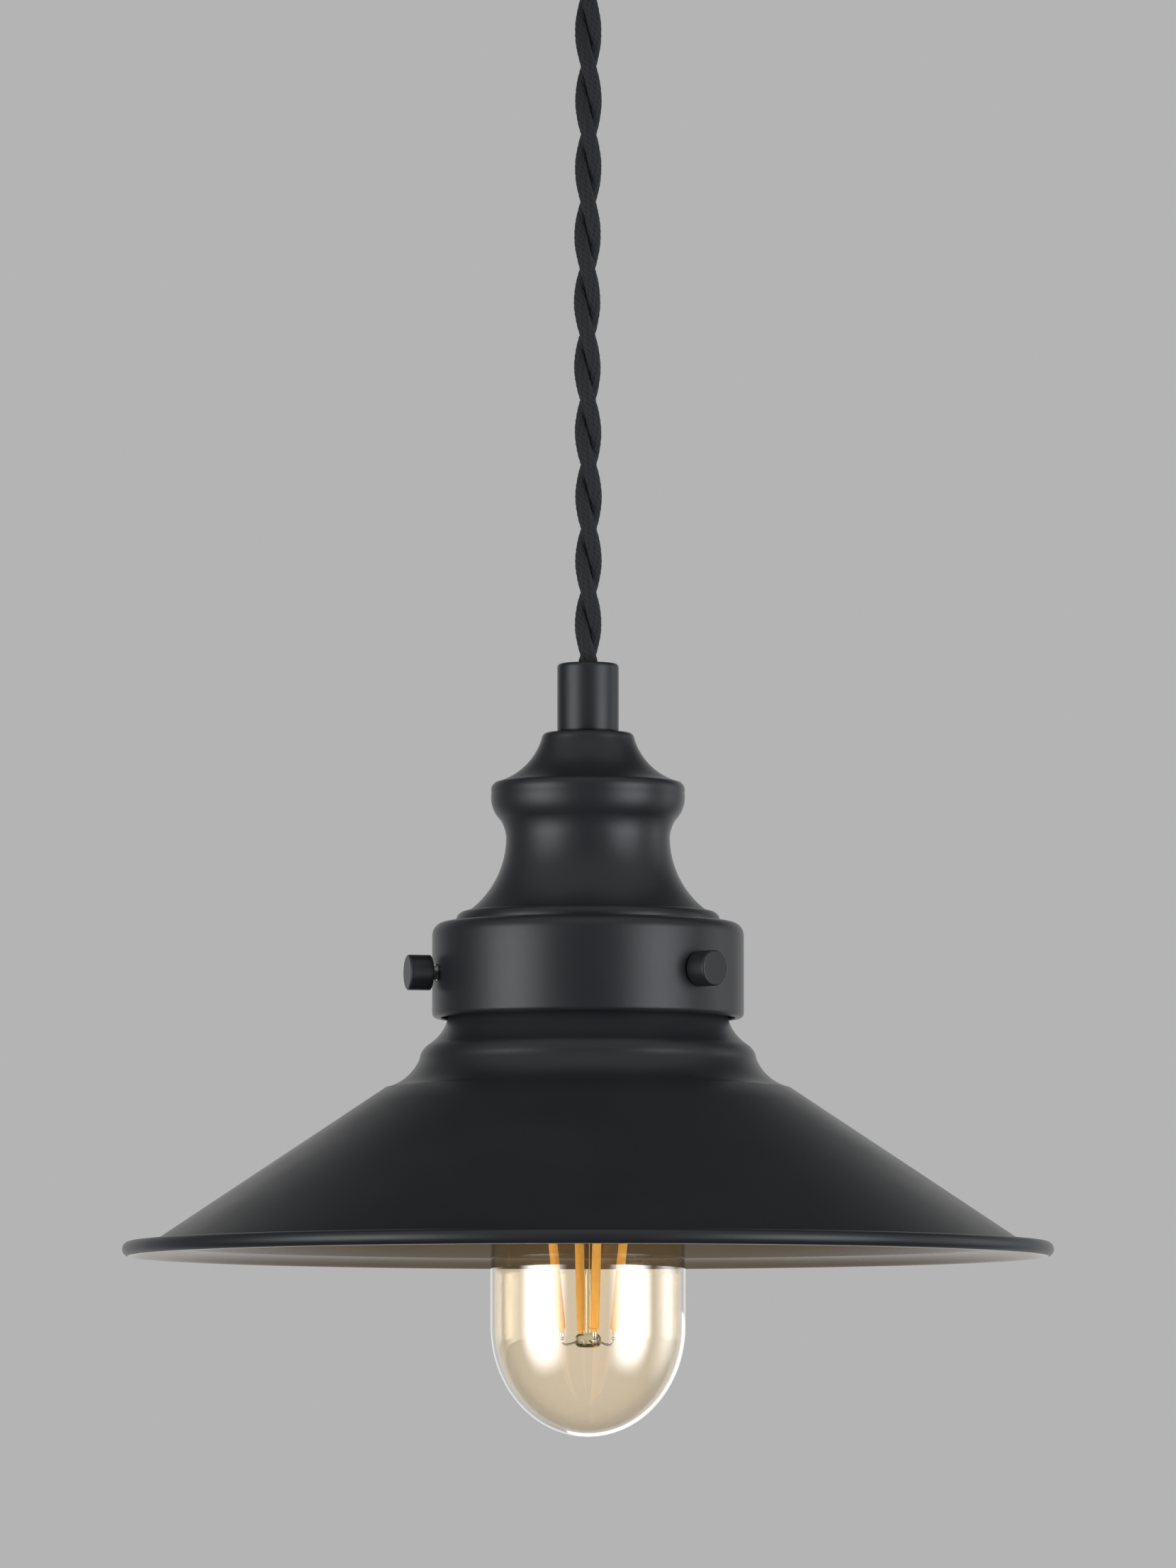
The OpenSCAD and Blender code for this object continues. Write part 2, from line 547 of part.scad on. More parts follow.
ceiling_bracket();
ceiling_cup();
cup_screw(-1);  // cup_screw_left
cup_screw(1);  // cup_screw_right
rose_grip();
rose_grip_screw();
rose_nipple();
rose_nut();
terminal_block();
terminal_tubes();
terminal_screws();
block_screw();
rose_tail();
rose_live_wire();
rose_neutral_wire();
flex();
cord_grip();
grip_screw();
nipple();
cap_nut();
cap();
gallery();
shade();
holder_dome();
holder_skirt();
shade_ring();
holder_core();
screw_shell();
contact_spring();
holder_terminals();
lamp_tail();
holder_live_wire();
holder_neutral_wire();
thumb_shank(0);  // thumb_shank_1
thumb_shank(1);  // thumb_shank_2
thumb_shank(2);  // thumb_shank_3
thumb_knob(0);  // thumb_knob_1
thumb_knob(1);  // thumb_knob_2
thumb_knob(2);  // thumb_knob_3
bulb_contact();
bulb_insulator();
bulb_cap();
driver_board();
bulb_glass();
bulb_stem();
stem_button();
lead_wires();
lower_wires();
filament(0);  // filament_1
filament(1);  // filament_2
filament(2);  // filament_3
filament(3);  // filament_4
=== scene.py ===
# Pendant light: twisted textile flex, turned cap, gallery, spun shade and a filament bulb
import json
import math
import bmesh
import bpy
from mathutils import Matrix, Vector


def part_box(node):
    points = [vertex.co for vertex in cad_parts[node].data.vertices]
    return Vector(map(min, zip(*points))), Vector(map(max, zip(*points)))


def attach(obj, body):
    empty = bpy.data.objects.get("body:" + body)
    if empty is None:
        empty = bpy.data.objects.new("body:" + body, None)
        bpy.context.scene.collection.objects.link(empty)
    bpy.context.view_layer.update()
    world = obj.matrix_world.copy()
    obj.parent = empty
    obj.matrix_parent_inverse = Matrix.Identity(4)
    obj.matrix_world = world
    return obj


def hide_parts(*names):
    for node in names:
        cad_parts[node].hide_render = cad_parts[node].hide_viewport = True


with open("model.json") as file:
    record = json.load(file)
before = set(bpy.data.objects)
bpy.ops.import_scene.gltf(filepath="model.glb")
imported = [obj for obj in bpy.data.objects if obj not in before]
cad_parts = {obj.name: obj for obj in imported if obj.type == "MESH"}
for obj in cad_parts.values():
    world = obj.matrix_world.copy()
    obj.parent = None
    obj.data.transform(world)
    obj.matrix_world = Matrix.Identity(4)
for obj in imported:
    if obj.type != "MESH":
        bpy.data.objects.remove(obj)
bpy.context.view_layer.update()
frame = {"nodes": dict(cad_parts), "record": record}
nodes = frame["nodes"]
scene = bpy.context.scene
mm = 0.001
fullTurn = 2 * math.pi
rollR = 1.75  # radius of the shade's rolled rim, in millimetres
print("Frame loaded with", len(nodes), "parts")


def lowest(node):
    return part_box(node)[0]


def highest(node):
    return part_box(node)[1]


plateZ = highest("gallery").z  # top of the gallery, foot of the cap
capZ = highest("cap").z
lampZ = highest("cord_grip").z  # the flex enters the lamp here
exitZ = lowest("rose_grip").z  # and leaves the ceiling cup here
tipZ = lowest("bulb_glass").z  # bottom of the bulb
rimZ = lowest("shade").z + rollR * mm  # middle of the rolled rim


# Camera, lights and floor

view = {"lens": 242, "distance": 2.498, "belowRim": 0.0718, "aimAboveRim": 0.1103}
backdrop = {
    "seen": 0.456,  # what the camera sees behind the lamp
    "through glass": 0.97,
    "reflected": 0.95,  # the wall behind the lamp, as its surfaces reflect it
    "below": 0.55,  # share of that wall's brightness far down
    "ceiling": 0.2,  # and far up
    "overhead": 1.0,  # above the camera's side
    "front": 0.05,  # round the camera
}
softBoxes = {
    "left": {"azimuth": -57, "height": -0.1, "size": (2.0, 2.8), "radiance": 9.5,
             "colour": (0.96, 0.975, 1), "edges": (0.48, 0.5)},
    "right": {"azimuth": 54, "height": -0.1, "size": (1.8, 2.8), "radiance": 10.0,
              "colour": (0.91, 0.96, 1), "edges": (0.48, 0.5)},
    "right fill": {"azimuth": 108, "height": 0, "size": (1.4, 2.4), "radiance": 2.4,
                   "colour": (0.95, 0.975, 1), "edges": (0.5, 0.5)},
}
boxDistance = 1.5
floorDrop = 6


def makeCamera():
    drop = view["belowRim"] + view["aimAboveRim"]
    aim = Vector((0, 0, rimZ + view["aimAboveRim"]))
    camera = bpy.data.objects.new("camera", bpy.data.cameras.new("camera"))
    camera.location = (0, -math.sqrt(view["distance"] ** 2 - drop ** 2), aim.z - drop)
    camera.rotation_euler = (aim - camera.location).to_track_quat("-Z", "Y").to_euler()
    camera.data.lens = view["lens"]
    camera.data.clip_end = 500
    scene.collection.objects.link(camera)
    scene.camera = camera


def mathNode(tree, kind, first, second):
    node = tree.nodes.new("ShaderNodeMath")
    node.operation = kind
    tree.links.new(first, node.inputs[0])
    tree.links.new(second, node.inputs[1])
    return node.outputs[0]


def smoothRamp(tree, value, start, end, low, high):
    node = tree.nodes.new("ShaderNodeMapRange")
    node.interpolation_type = "SMOOTHSTEP"
    for label, number in (("From Min", start), ("From Max", end), ("To Min", low), ("To Max", high)):
        node.inputs[label].default_value = number
    tree.links.new(value, node.inputs["Value"])
    return node.outputs[0]


def featherLight(light, edges):
    # dims a soft box towards its sides and towards its top and bottom
    light.use_nodes = True
    tree = light.node_tree
    add, link = tree.nodes.new, tree.links.new
    split = add("ShaderNodeSeparateXYZ")
    link(add("ShaderNodeNewGeometry").outputs["Parametric"], split.inputs[0])
    falls = []
    for axis, edge in zip("XY", edges):
        away = add("ShaderNodeMath")  # 0 at both edges and 0.5 in the middle
        away.operation = "PINGPONG"
        away.inputs[1].default_value = 0.5
        link(split.outputs[axis], away.inputs[0])
        falls.append(smoothRamp(tree, away.outputs[0], 0, edge, 0, 1))
    link(mathNode(tree, "MULTIPLY", *falls), tree.nodes["Emission"].inputs["Strength"])


def softBox(name, box):
    width, tall = box["size"]
    light = bpy.data.lights.new(name, "AREA")
    light.shape = "RECTANGLE"
    light.size, light.size_y = width, tall
    light.energy = box["radiance"] * math.pi * width * tall
    light.color = box["colour"]
    featherLight(light, box["edges"])
    lamp = bpy.data.objects.new(name, light)
    turn = math.radians(box["azimuth"])
    middle = Vector((0, 0, plateZ))
    away = Vector((math.sin(turn) * boxDistance, -math.cos(turn) * boxDistance, box["height"]))
    lamp.location = middle + away
    lamp.rotation_euler = (-away).to_track_quat("-Z", "Y").to_euler()
    lamp.visible_camera = False
    scene.collection.objects.link(lamp)


def makeWorld():
    world = bpy.data.worlds.new("studio")
    scene.world = world
    world.use_nodes = True
    tree = world.node_tree
    tree.nodes.clear()
    add, link = tree.nodes.new, tree.links.new
    split = add("ShaderNodeSeparateXYZ")
    link(add("ShaderNodeTexCoord").outputs["Generated"], split.inputs[0])

    across, up = split.outputs["Y"], split.outputs["Z"]  # how far a ray goes away from the camera, and up
    wall = smoothRamp(tree, across, 0.42, 1.0, backdrop["front"], backdrop["reflected"])
    wall = mathNode(tree, "MULTIPLY", wall, smoothRamp(tree, up, 0.2, 0.7, 1, backdrop["ceiling"]))
    wall = mathNode(tree, "MULTIPLY", wall, smoothRamp(tree, up, -0.25, -0.8, 1, backdrop["below"]))
    overhead = smoothRamp(tree, up, 0.35, 0.75, 0, backdrop["overhead"])
    overhead = mathNode(tree, "MULTIPLY", overhead, smoothRamp(tree, across, 0, 0.35, 1, 0))
    reflected = mathNode(tree, "ADD", wall, overhead)
    path = add("ShaderNodeLightPath")
    glass = add("ShaderNodeMix")
    glass.data_type = "FLOAT"
    link(path.outputs["Is Transmission Ray"], glass.inputs["Factor"])
    glass.inputs["A"].default_value = backdrop["seen"]
    glass.inputs["B"].default_value = backdrop["through glass"]
    pick = add("ShaderNodeMix")
    pick.data_type = "FLOAT"
    link(path.outputs["Is Glossy Ray"], pick.inputs["Factor"])
    link(glass.outputs["Result"], pick.inputs["A"])
    link(reflected, pick.inputs["B"])
    sky = add("ShaderNodeBackground")
    link(pick.outputs["Result"], sky.inputs["Color"])
    out = add("ShaderNodeOutputWorld")
    link(sky.outputs[0], out.inputs["Surface"])


def makeFloor():
    shape = bmesh.new()
    bmesh.ops.create_grid(shape, x_segments=1, y_segments=1, size=80)
    bmesh.ops.translate(shape, verts=shape.verts, vec=(0, 0, -floorDrop))
    mesh = bpy.data.meshes.new("floor")
    shape.to_mesh(mesh)
    shape.free()
    paint = bpy.data.materials.new("floor paint")
    paint.use_nodes = True
    skin = paint.node_tree.nodes["Principled BSDF"]
    skin.inputs["Base Color"].default_value = (0.9, 0.9, 0.9, 1)
    skin.inputs["Roughness"].default_value = 0.9
    mesh.materials.append(paint)
    floor = bpy.data.objects.new("floor", mesh)
    floor.visible_glossy = floor.visible_transmission = False
    scene.collection.objects.link(floor)


makeCamera()
makeWorld()
makeFloor()
for side, box in softBoxes.items():
    softBox("soft box " + side, box)
scene.view_settings.view_transform = "Standard"
print("Camera, lights and floor ready")


# Shader groups, each built once and used by several materials

grainHeight = 0.2 * mm
ringHeight = 0.05 * mm


def newGroup(name, inputs, outputs):
    group = bpy.data.node_groups.new(name, "ShaderNodeTree")
    for label, kind, value in inputs:
        socket = group.interface.new_socket(label, in_out="INPUT", socket_type=kind)
        socket.default_value = value
    for label, kind in outputs:
        group.interface.new_socket(label, in_out="OUTPUT", socket_type=kind)
    ends = group.nodes.new("NodeGroupInput"), group.nodes.new("NodeGroupOutput")
    return group, ends[0], ends[1]


def feed(tree, socket, value):
    # a number or colour is set on the socket, anything else is linked to it
    if isinstance(value, (int, float, tuple)):
        socket.default_value = value
    else:
        tree.links.new(value, socket)


def noiseNode(tree, vector, scale, detail):
    node = tree.nodes.new("ShaderNodeTexNoise")
    node.inputs["Detail"].default_value = detail
    node.inputs["Roughness"].default_value = 0.55
    tree.links.new(vector, node.inputs["Vector"])
    feed(tree, node.inputs["Scale"], scale)
    return node.outputs["Fac"]


def rangeNode(tree, value, low, high, fromLow=0.3, fromHigh=0.7):
    node = tree.nodes.new("ShaderNodeMapRange")
    node.inputs["From Min"].default_value = fromLow
    node.inputs["From Max"].default_value = fromHigh
    tree.links.new(value, node.inputs["Value"])
    feed(tree, node.inputs["To Min"], low)
    feed(tree, node.inputs["To Max"], high)
    return node.outputs["Result"]


def bumpNode(tree, height, strength, distance):
    node = tree.nodes.new("ShaderNodeBump")
    node.inputs["Distance"].default_value = distance
    tree.links.new(height, node.inputs["Height"])
    feed(tree, node.inputs["Strength"], strength)
    return node.outputs["Normal"]


def mixNode(tree, factor, first, second):
    node = tree.nodes.new("ShaderNodeMix")
    node.data_type = "RGBA"
    feed(tree, node.inputs["Factor"], factor)
    feed(tree, node.inputs["A"], first)
    feed(tree, node.inputs["B"], second)
    return node.outputs["Result"]


def buildSurfaceGroup():
    group, start, end = newGroup("surface finish", [
        ("Colour", "NodeSocketColor", (0.5, 0.5, 0.5, 1)),
        ("Second colour", "NodeSocketColor", (0.4, 0.4, 0.4, 1)),
        ("Patch scale", "NodeSocketFloat", 60),
        ("Smooth", "NodeSocketFloat", 0.3),
        ("Rough", "NodeSocketFloat", 0.4),
        ("Grain scale", "NodeSocketFloat", 1500),
        ("Grain", "NodeSocketFloat", 0.1)],
        [("Colour", "NodeSocketColor"), ("Roughness", "NodeSocketFloat"), ("Normal", "NodeSocketVector")])
    given, link = start.outputs, group.links.new
    where = group.nodes.new("ShaderNodeTexCoord").outputs["Object"]
    patches = noiseNode(group, where, given["Patch scale"], 4)
    grain = noiseNode(group, where, given["Grain scale"], 2)
    colour = mixNode(group, rangeNode(group, patches, 0, 1), given["Colour"], given["Second colour"])
    link(colour, end.inputs["Colour"])
    link(rangeNode(group, patches, given["Smooth"], given["Rough"]), end.inputs["Roughness"])
    link(bumpNode(group, grain, given["Grain"], grainHeight), end.inputs["Normal"])
    return group


def buildTurnedGroup():
    group, start, end = newGroup("turned rings", [
        ("Ring scale", "NodeSocketFloat", 3000), ("Depth", "NodeSocketFloat", 0.1),
        ("Smooth", "NodeSocketFloat", 0.2), ("Rough", "NodeSocketFloat", 0.35)],
        [("Roughness", "NodeSocketFloat"), ("Normal", "NodeSocketVector")])
    given, add, link = start.outputs, group.nodes.new, group.links.new
    split = add("ShaderNodeSeparateXYZ")
    link(add("ShaderNodeTexCoord").outputs["Object"], split.inputs[0])
    flat = add("ShaderNodeCombineXYZ")
    link(split.outputs["X"], flat.inputs["X"])
    link(split.outputs["Y"], flat.inputs["Y"])
    away = add("ShaderNodeVectorMath")  # distance from the lamp's axis
    away.operation = "LENGTH"
    link(flat.outputs[0], away.inputs[0])
    section = add("ShaderNodeCombineXYZ")
    link(away.outputs["Value"], section.inputs["X"])
    link(split.outputs["Z"], section.inputs["Z"])
    rings = noiseNode(group, section.outputs[0], given["Ring scale"], 2)
    link(rangeNode(group, rings, given["Smooth"], given["Rough"]), end.inputs["Roughness"])
    link(bumpNode(group, rings, given["Depth"], ringHeight), end.inputs["Normal"])
    return group


surfaceGroup = buildSurfaceGroup()
turnedGroup = buildTurnedGroup()


def newMaterial(name, **sockets):
    made = bpy.data.materials.new(name)
    made.use_nodes = True
    skin = made.node_tree.nodes["Principled BSDF"]
    for label, value in sockets.items():
        skin.inputs[label.replace("_", " ")].default_value = value
    return made, skin


def useGroup(made, group, **values):
    node = made.node_tree.nodes.new("ShaderNodeGroup")
    node.node_tree = group
    for label, value in values.items():
        node.inputs[label.replace("_", " ")].default_value = value
    return node


def finish(name, colour, second, smooth, rough, patch=60, grainScale=1500, grain=0.1, **sockets):
    made, skin = newMaterial(name, **sockets)
    node = useGroup(made, surfaceGroup, Colour=(*colour, 1), Second_colour=(*second, 1), Patch_scale=patch,
                 Smooth=smooth, Rough=rough, Grain_scale=grainScale, Grain=grain)
    link = made.node_tree.links.new
    link(node.outputs["Colour"], skin.inputs["Base Color"])
    link(node.outputs["Roughness"], skin.inputs["Roughness"])
    link(node.outputs["Normal"], skin.inputs["Normal"])
    return made


def turnedMetal(name, colour, second, smooth, rough, ringScale=3000, depth=0.3, patch=80):
    made, skin = newMaterial(name, Metallic=1)
    node = useGroup(made, surfaceGroup, Colour=(*colour, 1), Second_colour=(*second, 1), Patch_scale=patch)
    rings = useGroup(made, turnedGroup, Ring_scale=ringScale, Depth=depth, Smooth=smooth, Rough=rough)
    link = made.node_tree.links.new
    link(node.outputs["Colour"], skin.inputs["Base Color"])
    link(rings.outputs["Roughness"], skin.inputs["Roughness"])
    link(rings.outputs["Normal"], skin.inputs["Normal"])
    return made


# Materials

blackPaint = finish("satin black powder coat", (0.0076, 0.008, 0.0092), (0.009, 0.0095, 0.0107), 0.35,
                    0.41, patch=35, grainScale=1400, grain=0.08, Specular_IOR_Level=0.2)
liningPaint = finish("champagne lining", (0.10, 0.074, 0.047), (0.112, 0.084, 0.055), 0.22, 0.28,
                     patch=30, grainScale=1800, grain=0.06, Specular_IOR_Level=0.7)
zincSteel = turnedMetal("zinc plate", (0.60, 0.61, 0.62), (0.48, 0.49, 0.51), 0.25, 0.4, patch=140)
brass = turnedMetal("turned brass", (0.80, 0.58, 0.26), (0.70, 0.50, 0.22), 0.2, 0.34)
nickel = turnedMetal("nickel plate", (0.68, 0.66, 0.62), (0.60, 0.58, 0.54), 0.14, 0.28)
steelWire = finish("bare steel wire", (0.62, 0.61, 0.58), (0.5, 0.49, 0.46), 0.22, 0.38, patch=400,
                   Metallic=1)
nylon = finish("natural nylon", (0.78, 0.78, 0.74), (0.72, 0.72, 0.68), 0.35, 0.5, grain=0.05)
whitePlastic = finish("terminal plastic", (0.80, 0.80, 0.77), (0.76, 0.76, 0.72), 0.38, 0.5, grain=0.15)
bakelite = finish("bakelite", (0.014, 0.013, 0.012), (0.020, 0.018, 0.016), 0.22, 0.36, patch=50, grain=0.05)
porcelain = finish("glazed porcelain", (0.83, 0.82, 0.78), (0.79, 0.78, 0.73), 0.12, 0.2, grain=0.03)
vitrite = finish("black vitrite", (0.012, 0.012, 0.016), (0.022, 0.020, 0.026), 0.08, 0.18, grain=0.02)
boardGreen = finish("circuit board", (0.03, 0.18, 0.08), (0.02, 0.12, 0.05), 0.25, 0.4, patch=300)
liveSleeve = finish("brown insulation", (0.20, 0.075, 0.03), (0.16, 0.06, 0.025), 0.3, 0.42)
neutralSleeve = finish("blue insulation", (0.03, 0.13, 0.45), (0.025, 0.10, 0.36), 0.3, 0.42)
phosphor = finish("phosphor coat", (0.90, 0.46, 0.075), (0.84, 0.41, 0.06), 0.5, 0.62, patch=500,
                  grainScale=2600, grain=0.25)
tailCloth = finish("flex end cloth", (0.016, 0.016, 0.017), (0.028, 0.028, 0.03), 0.8, 0.95, patch=1200,
                   grainScale=1400, grain=0.8)


def makeGlass(name, colour, second, rough, **sockets):
    made, skin = newMaterial(name, Transmission_Weight=1, **sockets)
    node = useGroup(made, surfaceGroup, Colour=(*colour, 1), Second_colour=(*second, 1), Patch_scale=18,
                    Smooth=0, Rough=rough, Grain_scale=25, Grain=0.02)
    add, link = made.node_tree.nodes.new, made.node_tree.links.new
    for label, socket in (("Colour", "Base Color"), ("Roughness", "Roughness"), ("Normal", "Normal")):
        link(node.outputs[label], skin.inputs[socket])
    solid = add("ShaderNodeMapRange")  # thin to shadow rays, so that light reaches what is inside
    solid.inputs["To Min"].default_value = 1
    solid.inputs["To Max"].default_value = 0.15
    link(add("ShaderNodeLightPath").outputs["Is Shadow Ray"], solid.inputs["Value"])
    link(solid.outputs["Result"], skin.inputs["Alpha"])
    return made


amberGlass = makeGlass("amber glass", (0.955, 0.875, 0.745), (0.945, 0.86, 0.725), 0.01, IOR=1.45,
                       Coat_Weight=1, Coat_Roughness=0.01, Coat_IOR=1.6)
clearGlass = makeGlass("stem glass", (0.86, 0.86, 0.72), (0.84, 0.83, 0.68), 0.02, IOR=1.5)

braidShadeColours = {
    "dark": ((0.0015, 0.0015, 0.0017, 1), (0.004, 0.004, 0.0045, 1)),  # painted shade between the yarns
    "light": ((0.005, 0.005, 0.0058, 1), (0.0105, 0.0105, 0.0118, 1)),  # painted light on top of them
}


def makeTextile():
    made, skin = newMaterial("black braid", Sheen_Weight=0.04, Sheen_Roughness=0.5, Specular_IOR_Level=0.2)
    tree = made.node_tree
    # The yarn height, kept on the flex, is the mask for the braid's painted shade and painted light
    braid = tree.nodes.new("ShaderNodeAttribute")
    braid.attribute_name = "braid"
    height = braid.outputs["Fac"]
    where = tree.nodes.new("ShaderNodeTexCoord").outputs["Object"]
    fibres = noiseNode(tree, where, 5200, 3)
    spread = rangeNode(tree, fibres, 0, 1)
    # Darker between the yarns and lighter on their tops, by the yarn height: painted shade and painted light
    # of the braid's relief
    dark, light = (mixNode(tree, spread, *braidShadeColours[name]) for name in ("dark", "light"))
    tree.links.new(mixNode(tree, height, dark, light), skin.inputs["Base Color"])
    tree.links.new(rangeNode(tree, height, 0.95, 0.72, 0, 1), skin.inputs["Roughness"])
    tree.links.new(bumpNode(tree, fibres, 0.6, 0.1 * mm), skin.inputs["Normal"])
    return made


textile = makeTextile()
print("Materials made")


# Helpers for making pieces

def bow(start, end, share, steps=10):
    # arc from start to end, without start, that bulges to the left by a share of its chord
    spread = 2 * math.atan(2 * share)
    chord = complex(*end) - complex(*start)
    arc = []
    for step in range(1, steps + 1):
        part = step / steps
        reach = math.sin(spread * part) / math.sin(spread)
        turned = chord * complex(math.cos(spread * (1 - part)), math.sin(spread * (1 - part)))
        point = complex(*start) + turned * reach
        arc.append((point.real, point.imag))
    return arc


def straight(start, end, steps=4):
    return [tuple(a + (b - a) * step / steps for a, b in zip(start, end)) for step in range(1, steps + 1)]


def ringArc(centre, radius, first, last, steps=24):
    angles = [math.radians(first + (last - first) * step / steps) for step in range(steps + 1)]
    return [(centre[0] + radius * math.cos(a), centre[1] + radius * math.sin(a)) for a in angles]


def inner(path, wall):
    # the same outline moved to its right by the wall, for the inside of a sheet
    moved = []
    for i, point in enumerate(path):
        before, after = path[max(i - 1, 0)], path[min(i + 1, len(path) - 1)]
        way = complex(*after) - complex(*before)
        side = way / abs(way) * -1j * wall
        moved.append((point[0] + side.real, point[1] + side.imag))
    return moved


def spin(outline, steps=144, base=0.0, closed=True):
    # outline in millimetres: distance from the axis and height above the base
    shape = bmesh.new()
    ring = [shape.verts.new((r * mm, 0, base + h * mm)) for r, h in outline]
    edges = [shape.edges.new(pair) for pair in zip(ring, ring[1:])]
    if closed:
        edges.append(shape.edges.new((ring[-1], ring[0])))
    bmesh.ops.spin(shape, geom=ring + edges, cent=(0, 0, 0), axis=(0, 0, 1), dvec=(0, 0, 0),
                   angle=fullTurn, steps=steps, use_merge=True, use_duplicate=False)
    bmesh.ops.remove_doubles(shape, verts=shape.verts, dist=1e-6)
    bmesh.ops.recalc_face_normals(shape, faces=shape.faces)
    return shape


def cutThread(shape, root, depth, pitch, low, high):
    # right-hand thread: moves the wall of a turned rod in and out along a helix, all in metres
    for vert in shape.verts:
        if math.hypot(vert.co.x, vert.co.y) > root - 1e-5 and low <= vert.co.z <= high:
            turns = vert.co.z / pitch - math.atan2(vert.co.y, vert.co.x) / fullTurn
            fade = min(1, (vert.co.z - low) / pitch, (high - vert.co.z) / pitch)
            reach = root + depth * fade * (0.5 - 0.5 * math.cos(fullTurn * turns))
            scale = reach / math.hypot(vert.co.x, vert.co.y)
            vert.co.x *= scale
            vert.co.y *= scale


def finishPiece(name, shape, materials, body, standsFor, sharp=32):
    for face in shape.faces:
        face.smooth = True
    for edge in shape.edges:
        if len(edge.link_faces) == 2 and edge.calc_face_angle(0) > math.radians(sharp):
            edge.smooth = False
    mesh = bpy.data.meshes.new(name)
    shape.to_mesh(mesh)
    shape.free()
    for made in materials:
        mesh.materials.append(made)
    piece = bpy.data.objects.new(name, mesh)
    scene.collection.objects.link(piece)
    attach(piece, body)
    if standsFor:
        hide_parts(*standsFor)
    return piece


def boreHoles(piece, cutters):
    # cuts the cutters' shape out of the piece for good
    mesh = bpy.data.meshes.new("cutter")
    cutters.to_mesh(mesh)
    cutters.free()
    tool = bpy.data.objects.new("cutter", mesh)
    scene.collection.objects.link(tool)
    cut = piece.modifiers.new("bore", "BOOLEAN")
    cut.object = tool
    cut.operation = "DIFFERENCE"
    cut.solver = "EXACT"
    bpy.context.view_layer.update()
    bored = bpy.data.meshes.new_from_object(piece.evaluated_get(bpy.context.evaluated_depsgraph_get()))
    piece.modifiers.remove(cut)
    piece.data = bored
    bpy.data.objects.remove(tool)


# Flex: two braided strands twisted together

flexSet = {
    "width": 6.2,  # over both strands
    "offset": 1.5,  # from the flex's middle to a strand's middle
    "deep": 1.6,  # strand radius towards its neighbour
    "wide": 1.72,  # strand radius across
    "topHalfTurn": 16.6,  # length of half a turn at the top end
    "lowHalfTurn": 14.85,  # and at the lamp
    "phase": -54,  # degrees at the lamp
    "wobble": 0.22,
    "yarns": 8,  # each way round a strand
    "plait": 1.1,  # length of one yarn crossing
    "relief": 0.17,
    "hidden": 0.9,  # of each end inside its cord grip
    "ring": 0.24,  # height of one ring of faces
    "sides": 40,  # faces round a strand
    "under": 0.45,  # height of a yarn that passes under, as a share
    "sways": 9,  # radians of sideways sway over the whole length
}


def braidHeight(turn, along):
    # herringbone braid: two families of yarns that pass over and under each other
    first = flexSet["yarns"] * turn + along / flexSet["plait"] / 2
    second = flexSet["yarns"] * turn - along / flexSet["plait"] / 2
    over = (math.floor(first) + math.floor(second)) % 2
    ridge = [abs(math.sin(math.pi * value)) for value in (first, second)]
    under = flexSet["under"]
    return max(ridge[0] * (1 if over else under), ridge[1] * (under if over else 1))


def makeFlex():
    length = exitZ - lampZ + 2 * flexSet["hidden"] * mm
    bottom = lampZ - flexSet["hidden"] * mm
    rings = round(length / (flexSet["ring"] * mm))
    whole = bmesh.new()
    braid = whole.verts.layers.float.new("braid")
    for strand in (0, 1):
        before = set(whole.verts)
        made = bmesh.ops.create_circle(whole, segments=flexSet["sides"], radius=mm)
        edges = list({edge for vert in made["verts"] for edge in vert.link_edges})
        bmesh.ops.spin(whole, geom=edges, cent=(0, 0, 0), axis=(0, 0, 1), dvec=(0, 0, length / rings),
                       angle=0, steps=rings, use_merge=False, use_duplicate=False)
        for vert in [v for v in whole.verts if v not in before]:
            around, up = math.atan2(vert.co.y, vert.co.x), vert.co.z
            share = up / length
            halfTurn = flexSet["lowHalfTurn"] + (flexSet["topHalfTurn"] - flexSet["lowHalfTurn"]) * share
            meanHalf = (flexSet["lowHalfTurn"] + halfTurn) / 2
            swing = math.radians(flexSet["phase"]) - math.pi * (up / mm / meanHalf + strand)
            lean = -math.pi / halfTurn * flexSet["offset"]
            bump = braidHeight(around / fullTurn, up / mm)
            outward = Vector((math.cos(swing), math.sin(swing), 0))
            tangent = Vector((-lean * math.sin(swing), lean * math.cos(swing), 1)).normalized()
            across = tangent.cross(outward)
            relief = flexSet["relief"] * (bump - 0.5)
            deep, wide = flexSet["deep"] + relief, flexSet["wide"] + relief
            sway = flexSet["wobble"] * math.sin(flexSet["sways"] * share) * math.sin(math.pi * share)
            middle = outward * flexSet["offset"] + Vector((sway, 0, up / mm))
            point = middle + outward * deep * math.cos(around) + across * wide * math.sin(around)
            vert.co = point * mm + Vector((0, 0, bottom))
            # the yarn height, also kept as the mask for the braid's painted shade and painted light
            vert[braid] = bump
    rims = [edge for edge in whole.edges if edge.is_boundary]
    bmesh.ops.holes_fill(whole, edges=rims, sides=0)
    bmesh.ops.recalc_face_normals(whole, faces=whole.faces)
    flex = finishPiece("twisted_flex", whole, [textile], "flex_line", ["flex"], sharp=80)


makeFlex()
print("Flex twisted and braided")


# Cord grips

gripSet = {
    "radius": 7.3,
    "bore": 3.6,
    "edge": 0.9,  # rounding at the end where the flex enters
    "recess": 0.35,  # height of the dark line at its foot
    "recessDepth": 0.5,
    "screwHole": 1.6,
    "screwDrop": 3.9,
}


